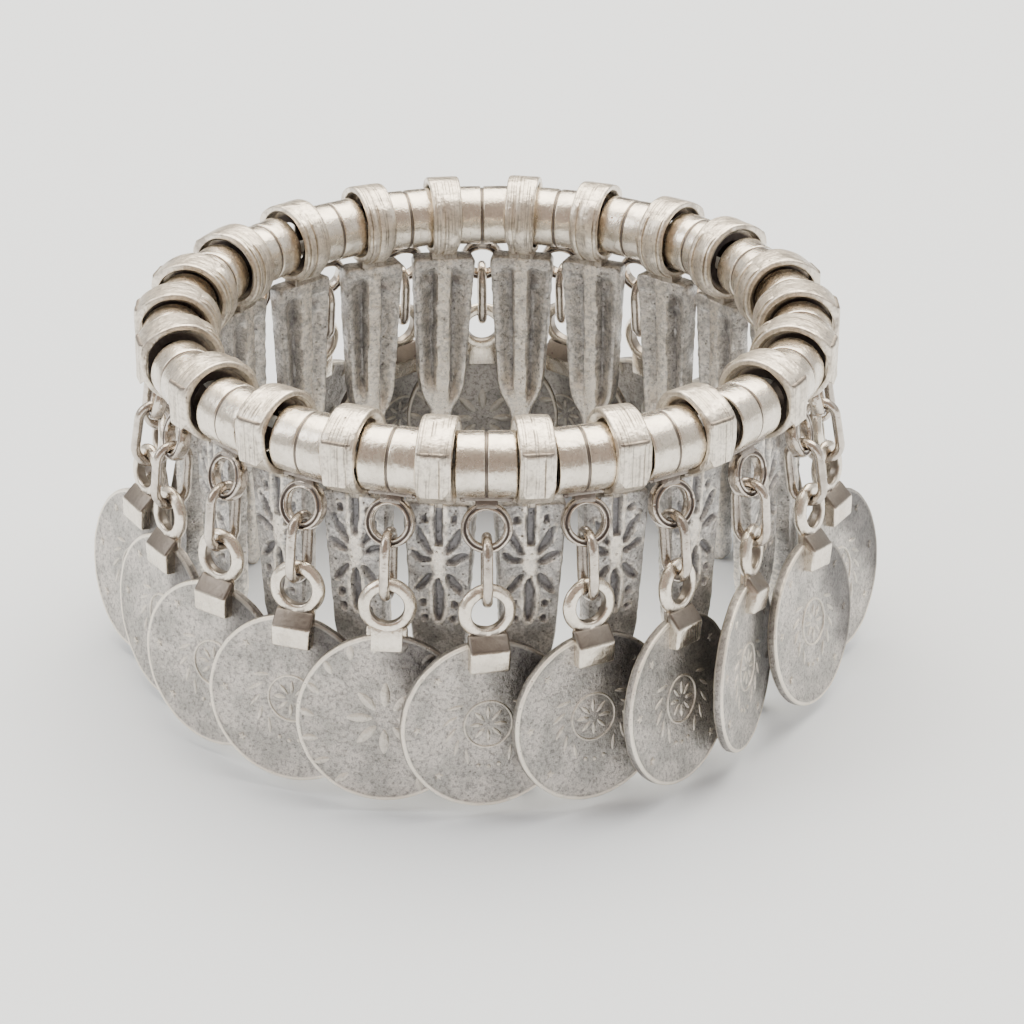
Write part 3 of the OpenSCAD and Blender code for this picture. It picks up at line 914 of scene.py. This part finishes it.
def coinMesh(leafShape, starShape):
    bm = newShape()
    r, f, d = coin["radius"], coin["field"], coin["rim"]
    start = coin["rimFrom"]
    front = [(0, -f, 0)] + [(k * start / 9, -f, 0) for k in range(1, 9)]
    front += [(start, -f, 0.12), (start + 0.18, -d, 0.1), (r - 0.12, -d, 0.1), (r, -d + 0.16, 0.1)]
    corners = front + [(x, -y, soft) for x, y, soft in reversed(front)]
    chain = []
    for p in roundedProfile(corners, closed=False, steps=2, span=1.2):
        if not chain or (p - chain[-1]).length > 0.001:
            chain.append(p)
    disc = spinChain(bm, chain, "Y", coin["steps"], closed=False)
    for v in disc:
        away = math.hypot(v.co.x, v.co.z)
        v[bm.verts.layers.float["rim"]] = coin["rimWorn"] * smoothStep(start, start + 0.25, away)
        if start + 0.1 < away and abs(v.co.y) < 0.3:
            v[bm.verts.layers.float["rim"]] = coin["edgeWorn"]
    roughened(disc, coin["uneven"], 1.1, 8)
    low = [v for v in disc if math.hypot(v.co.x, v.co.z) < 7]
    roughened(low, coin["fieldUneven"], 0.45, 9)

    def put(shape, angle, away, spin, long, wide, side="front"):
        stamp(bm, shape, reliefPlace(angle, away, spin, long, wide, side))

    for a in range(45, 316, 45):
        put(starShape, a + 180, -6.9, 0, 0.48, 0.48)
    for a in range(0, 360, 45):
        put(leafShape, a, -0.5, 0, 1.35, 0.42)
    for m in (-1, 1):
        for a in (48, 70, 92, 114, 136):
            put(leafShape, m * (180 - a), 3.2, m * 128, 1.7, 0.4)
    for x in (-1, 0, 1):
        dot = bmesh.ops.create_icosphere(bm, subdivisions=2, radius=0.22)["verts"]
        bmesh.ops.scale(bm, vec=(1, 0.5, 1), verts=dot)
        bmesh.ops.translate(bm, vec=(x, -f - 0.02, -4.4 + 0.2 * abs(x)), verts=dot)
        painted(bm, dot, "rim", coin["worn"])
    loop = roundedProfile([
        (2.2, -f + 0.05, 0.04), (2.26, -f - 0.12, 0.06), (2.42, -f - 0.12, 0.06), (2.48, -f + 0.05, 0.04),
    ], steps=2)
    painted(bm, spinChain(bm, loop, "Y", 56), "rim", coin["worn"])
    for a in range(30, 331, 20):
        put(leafShape, a + 180, -6.7, 24, 1.7, 0.75, "back")
    for a in range(0, 360, 45):
        put(leafShape, a, -1.1, 0, 2.6, 1.0, "back")
    bmesh.ops.translate(bm, vec=(0, 0, -ring["coinDrop"]), verts=bm.verts)
    return asMesh(bm, "coinShape")


def bailMesh():
    bm = newShape()
    o, h, d = bail["outer"], bail["hole"], bail["half"]
    chain = roundedProfile([
        (h, -d, 0.3), (o - 0.4, -d, 0.2), (o, -d + 0.42, 0.16),
        (o, d - 0.42, 0.16), (o - 0.4, d, 0.2), (h, d, 0.3),
    ], steps=3)
    made = spinChain(bm, chain, "Y", bail["steps"])
    # painted shade in the bore of the ring
    for v in made:
        if math.hypot(v.co.x, v.co.z) < h + 0.12:
            v[bm.verts.layers.float["hollow"]] = bail["boreDark"]
    w = bail["wedgeHalf"]
    sideView = [(0.1, -2.1), (-0.5, -2.1), (-1.7, -3.6), (-1.35, -5.8), (0.1, -5.8)]
    first = [bm.verts.new((-w, y, z)) for y, z in sideView]
    base = bm.faces.new(first)
    grown = bmesh.ops.extrude_face_region(bm, geom=[base])["geom"]
    lifted = [g for g in grown if isinstance(g, bmesh.types.BMVert)]
    bmesh.ops.translate(bm, vec=(2 * w, 0, 0), verts=lifted)
    both = first + lifted
    bmesh.ops.recalc_face_normals(bm, faces=list({f for v in both for f in v.link_faces}))
    edges = list({e for v in both for e in v.link_edges})
    bmesh.ops.bevel(bm, geom=edges, offset=0.3, offset_type="OFFSET", affect="EDGES",
                    segments=4, profile=0.5, material=-1, clamp_overlap=True)
    # painted reflection: the wedge's upper facet is darkened as the dark room it mirrors, and the lower
    # facet gets painted shade towards its top
    layer = bm.verts.layers.float["hollow"]
    for v in bm.verts:
        away = math.hypot(v.co.x, v.co.z)
        if v.co.z < -2.9 and v.co.y < -0.6:
            v[layer] = bail["facetLowDark"] * smoothStep(-3.75, -3.45, v.co.z)
        elif v.co.y < -0.3 and -3 < v.co.z < -1.9 and abs(v.co.x) > 0.1 and away < w + 1.4:
            v[layer] = max(v[layer], bail["facetDark"])
    block(bm, (-1.5, -0.1, -4.5), (1.5, 0.54, -1.95), 0.12)
    roughened(bm.verts, bail["uneven"], 1.1, 11)
    return asMesh(bm, "bailShape")


leafShape = leafMesh()
starShape = starMesh()
coinShape = coinMesh(leafShape, starShape)
bailShape = bailMesh()
print("coin shape made:", len(coinShape.polygons))
for i in range(count):
    number = f"{i + 1:02d}"
    bm = newShape()
    place = coinPlace(i)
    ownPlace = place.inverted()
    for v in stamp(bm, coinShape, place):
        spot = ownPlace @ v.co
        # the side towards the wrist is darkened all over
        if spot.y * hang[i]["side"] > 0.1:
            v[bm.verts.layers.float["hollow"]] = coin["wristSide"]
            continue
        # painted shadow: the coin is darkened towards its top and one side, as the shadow and dark
        # reflection of the neighbour and the spikes
        across = spot.x * hang[i]["side"] * 0.85 + (spot.z + ring["coinDrop"]) * 0.5
        across += 1.2 * noise.noise(spot / 2.5 + Vector((i * 3.1, 0, 0)))
        paintedShade = smoothStep(coin["paintedShadeFrom"], coin["paintedShadeTo"], across)
        v[bm.verts.layers.float["hollow"]] = coin["paintedShade"] * paintedShade
    mesh = asMesh(bm, "coin" + number)
    addPiece("coinDisc" + number, mesh, coinSkin, "coin_silver", "coin_" + number)
    bm = newShape()
    stamp(bm, bailShape, place)
    mesh = asMesh(bm, "bail" + number)
    addPiece("coinBail" + number, mesh, bright, "bright_silver", "coin_" + number)
print("coins made")

# Elastic, floor, light and camera

cord = bpy.data.objects["elastic_cord"]
cord.data.materials.clear()
cord.data.materials.append(elasticRubber("clearElastic"))

floorShape = bmesh.new()
bmesh.ops.create_grid(floorShape, x_segments=1, y_segments=1, size=3)
floorMesh = asMesh(floorShape, "floorSheet")
floor = bpy.data.objects.new("floorSheet", floorMesh)
floorMesh.materials.append(floorPaper("palePaper"))
bpy.context.scene.collection.objects.link(floor)

light = {
    "topPower": 19.0, "topSize": 1.2, "topHigh": 0.85, "topBehind": 0.33, "topRight": 0.06,
    "topColour": (1, 0.935, 0.83), "aim": (0, 0, 0.02),
    "sidePower": 1.5, "sideSize": 0.35, "sideSpot": (-0.6, -0.1, 0.5), "sideColour": (1, 0.98, 0.95),
}


def areaLight(name, spot, aim, size, power, colour):
    lamp = bpy.data.lights.new(name, "AREA")
    lamp.size = size
    lamp.energy = power
    lamp.color = colour
    holder = bpy.data.objects.new(name, lamp)
    holder.location = spot
    holder.rotation_euler = (Vector(aim) - Vector(spot)).to_track_quat("-Z", "Y").to_euler()
    bpy.context.scene.collection.objects.link(holder)


topSpot = (light["topRight"], light["topBehind"], light["topHigh"])
areaLight("topLight", topSpot, light["aim"], light["topSize"], light["topPower"], light["topColour"])
areaLight("sideLight", light["sideSpot"], light["aim"], light["sideSize"], light["sidePower"],
          light["sideColour"])

room = {
    "low": (0.68, 0.645, 0.60, 1), "high": (1.1, 1.08, 1.04, 1),
    # each with its rise from the camera's side in degrees, where it fades out and where it is full
    "glow": (3.3, 2.9, 2.3, 1), "glowAt": (124, 0.66, 0.97),          # window light from above and behind
    "brown": (0.50, 0.41, 0.355, 1), "brownAt": (36, 0.48, 0.86),     # dark side of the room, by the camera
    "dusk": (0.20, 0.19, 0.185, 1), "duskAt": (171, 0.7, 0.93),       # darker strip low behind the bracelet
}
world = bpy.data.worlds.new("softRoom")
bpy.context.scene.world = world
world.use_nodes = True
tree = world.node_tree
tree.nodes.clear()


def worldNode(kind, settings, inputs):
    node = tree.nodes.new(kind)
    for key, value in settings.items():
        setattr(node, key, value)
    for key, value in inputs.items():
        if isinstance(value, bpy.types.NodeSocket):
            tree.links.new(value, node.inputs[key])
        else:
            node.inputs[key].default_value = value
    return node


where = worldNode("ShaderNodeTexCoord", {}, {}).outputs["Generated"]
upward = worldNode("ShaderNodeSeparateXYZ", {}, {0: where}).outputs["Z"]
smooth = {"interpolation_type": "SMOOTHSTEP"}


def lobe(rise, edge, heart):
    # how near a direction comes to one that rises from the camera's side
    aim = (0, -math.cos(math.radians(rise)), math.sin(math.radians(rise)))
    near = worldNode("ShaderNodeVectorMath", {"operation": "DOT_PRODUCT"}, {0: where, 1: aim})
    limits = {0: near.outputs["Value"], 1: edge, 2: heart}
    return worldNode("ShaderNodeMapRange", smooth, limits).outputs[0]


def colourMix(amount, first, second):
    inputs = {0: amount, 6: first, 7: second}
    return worldNode("ShaderNodeMix", {"data_type": "RGBA"}, inputs).outputs[2]


height = worldNode("ShaderNodeMapRange", smooth, {0: upward, 1: -0.1, 2: 0.8}).outputs[0]
sky = colourMix(height, room["low"], room["high"])
for name in ("glow", "brown", "dusk"):
    rise, edge, heart = room[name + "At"]
    sky = colourMix(lobe(rise, edge, heart), sky, room[name])
shine = worldNode("ShaderNodeBackground", {}, {0: sky, 1: 1.0})
worldNode("ShaderNodeOutputWorld", {}, {0: shine.outputs[0]})

view = {
    "elevation": 23.3, "distance": 0.36,     # from the middle of the ring
    "tiltMore": 2.93, "aimRight": 0.43,      # the ring stands above and left of the picture's middle
    "lens": 125.3, "sensor": 36, "near": 0.01, "far": 20,
}
camera = bpy.data.objects.new("photoCamera", bpy.data.cameras.new("photoCamera"))
camera.data.sensor_width = view["sensor"]
camera.data.lens = view["lens"]
camera.data.clip_start = view["near"]
camera.data.clip_end = view["far"]
raised = math.radians(view["elevation"])
tilt = math.radians(90 - view["elevation"] - view["tiltMore"])
back = view["distance"] * math.cos(raised)
above = view["distance"] * math.sin(raised)
camera.location = (0, -back, ring["height"] * mm + above)
camera.rotation_euler = (tilt, 0, -math.radians(view["aimRight"]))
bpy.context.scene.collection.objects.link(camera)
bpy.context.scene.camera = camera
print("floor, lights and camera made")
